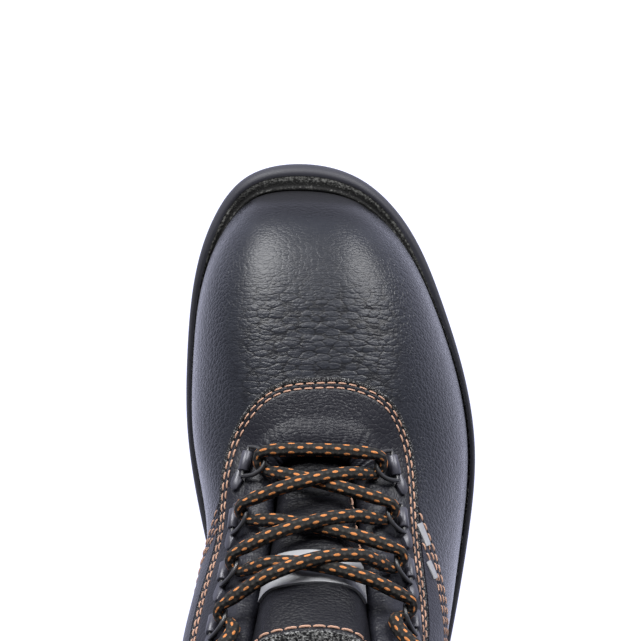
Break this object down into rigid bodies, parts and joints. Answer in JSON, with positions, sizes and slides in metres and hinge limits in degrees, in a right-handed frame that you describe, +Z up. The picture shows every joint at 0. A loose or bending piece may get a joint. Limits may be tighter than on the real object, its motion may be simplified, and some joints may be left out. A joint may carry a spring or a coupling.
{
  "type": "safety boot",
  "caption": "Ankle-high lace-up safety boot for the right foot, with a hollow leather upper, bellows tongue, metal lace rings and a lugged sole.",
  "frame": {"origin": "middle of the box around the boot, on the ground", "axes": "+Y from heel to toe, +X to the outer side of the foot, +Z up"},
  "size_m": [0.1088, 0.302, 0.1565],
  "materials": {
    "vamp_leather": "satin",
    "facing_leather": "satin",
    "sole_rubber": "matte",
    "footbed_fabric": "matte",
    "reflective_fabric": "satin",
    "ring_metal": "satin",
    "lace_cord": "matte"
  },
  "bodies": {
    "root": {"upper": "vamp_leather", "facing": "facing_leather", "quarters": "vamp_leather", "midsole": "sole_rubber", "outsole": "sole_rubber", "insole": "footbed_fabric", "tongue": "facing_leather", "tongue_label": "reflective_fabric", "lace_ring_inner_1": "ring_metal", "lace_ring_inner_2": "ring_metal", "lace_ring_inner_3": "ring_metal", "lace_ring_inner_4": "ring_metal", "lace_ring_inner_5": "ring_metal", "lace_ring_outer_1": "ring_metal", "lace_ring_outer_2": "ring_metal", "lace_ring_outer_3": "ring_metal", "lace_ring_outer_4": "ring_metal", "lace_ring_outer_5": "ring_metal", "lace_bar": "lace_cord", "lace_crossing_1": "lace_cord", "lace_crossing_2": "lace_cord", "lace_crossing_3": "lace_cord", "lace_run_inner": "lace_cord", "lace_run_outer": "lace_cord"}
  },
  "joints": []
}
